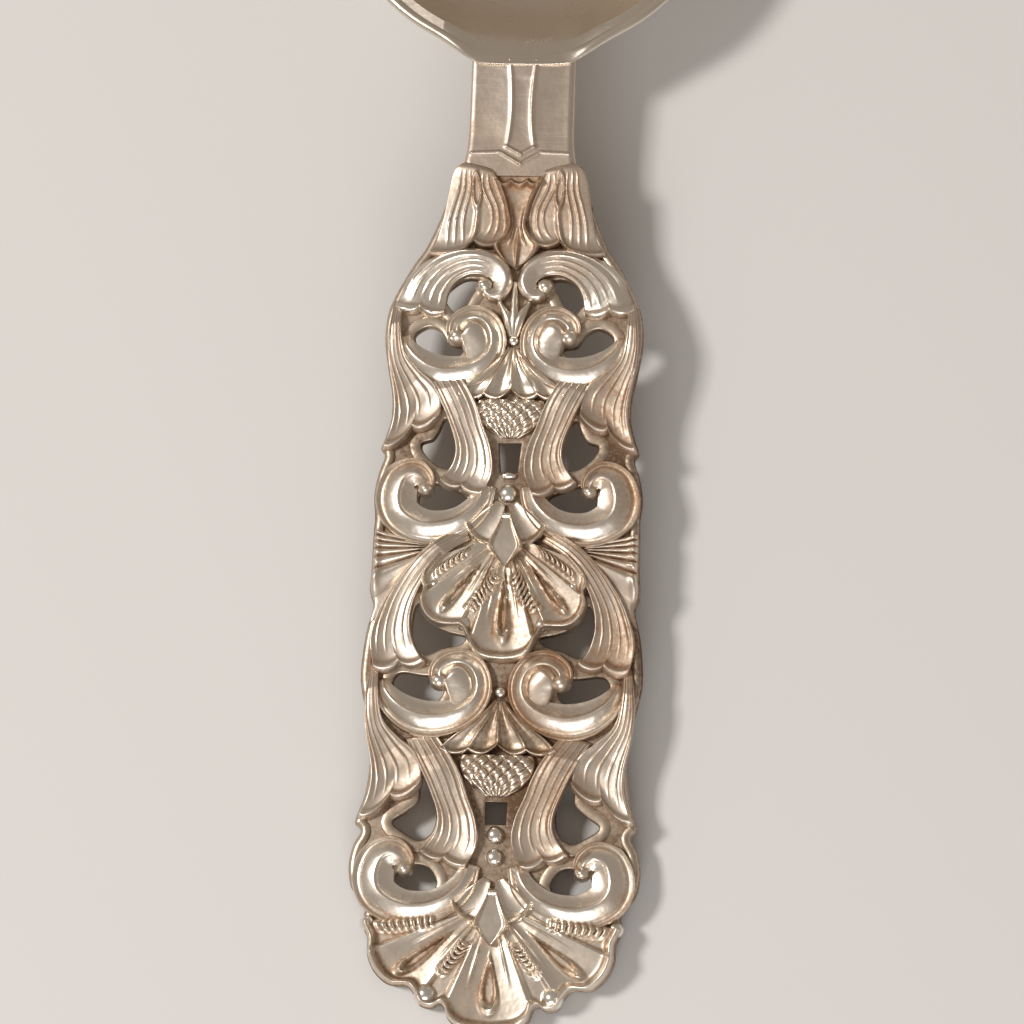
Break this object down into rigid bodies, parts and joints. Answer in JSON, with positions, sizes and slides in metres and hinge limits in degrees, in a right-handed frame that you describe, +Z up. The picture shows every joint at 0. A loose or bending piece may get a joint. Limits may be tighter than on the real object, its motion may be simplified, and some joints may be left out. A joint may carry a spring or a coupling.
{
  "type": "sugar spoon",
  "caption": "Round-bowled sugar spoon with a short strap and a flat pierced handle that carries scrolls, leaves, cones, shells and beads.",
  "frame": {"origin": "under the middle of the spoon, on the surface it lies on", "axes": "+Y from the handle's tip to the bowl, +Z up, +X to the right seen from above with the bowl away"},
  "size_m": [0.0354, 0.1223, 0.0094],
  "materials": {
    "bowl_silver": "polished silver with fine wear scratches",
    "strap_silver": "polished silver, a little dulled, with fine scratches",
    "plate_silver": "silver with brown tarnish in the ground between the ornaments",
    "scroll_silver": "bright polished silver on the crests, tarnished at the foot",
    "leaf_silver": "silver with warm tarnish in the grooves and at the leaf ends",
    "shell_silver": "polished silver with tarnish between the lobes",
    "cone_silver": "silver with dark tarnish between the scales",
    "bead_silver": "bright polished silver"
  },
  "bodies": {
    "root": {"bowl": "bowl_silver", "strap": "strap_silver", "handle_plate": "plate_silver", "collar_leaf_left": "leaf_silver", "collar_leaf_right": "leaf_silver", "collar_tongue": "leaf_silver", "crest_scroll_left": "scroll_silver", "crest_scroll_right": "scroll_silver", "first_scroll_left": "scroll_silver", "first_scroll_right": "scroll_silver", "second_scroll_left": "scroll_silver", "second_scroll_right": "scroll_silver", "third_scroll_left": "scroll_silver", "third_scroll_right": "scroll_silver", "fourth_scroll_left": "scroll_silver", "fourth_scroll_right": "scroll_silver", "crown_sprig": "cone_silver", "upper_calyx": "cone_silver", "lower_calyx": "cone_silver", "upper_pine_cone": "cone_silver", "lower_pine_cone": "cone_silver", "upper_hanging_leaf_left": "leaf_silver", "upper_hanging_leaf_right": "leaf_silver", "lower_hanging_leaf_left": "leaf_silver", "lower_hanging_leaf_right": "leaf_silver", "upper_stalk_left": "leaf_silver", "upper_stalk_right": "leaf_silver", "lower_stalk_left": "leaf_silver", "lower_stalk_right": "leaf_silver", "upper_husk": "cone_silver", "lower_husk": "cone_silver", "side_flutes_left": "leaf_silver", "side_flutes_right": "leaf_silver", "shoulder_leaf_left": "leaf_silver", "shoulder_leaf_right": "leaf_silver", "middle_shell": "shell_silver", "end_shell": "shell_silver", "beads": "bead_silver"}
  },
  "joints": []
}
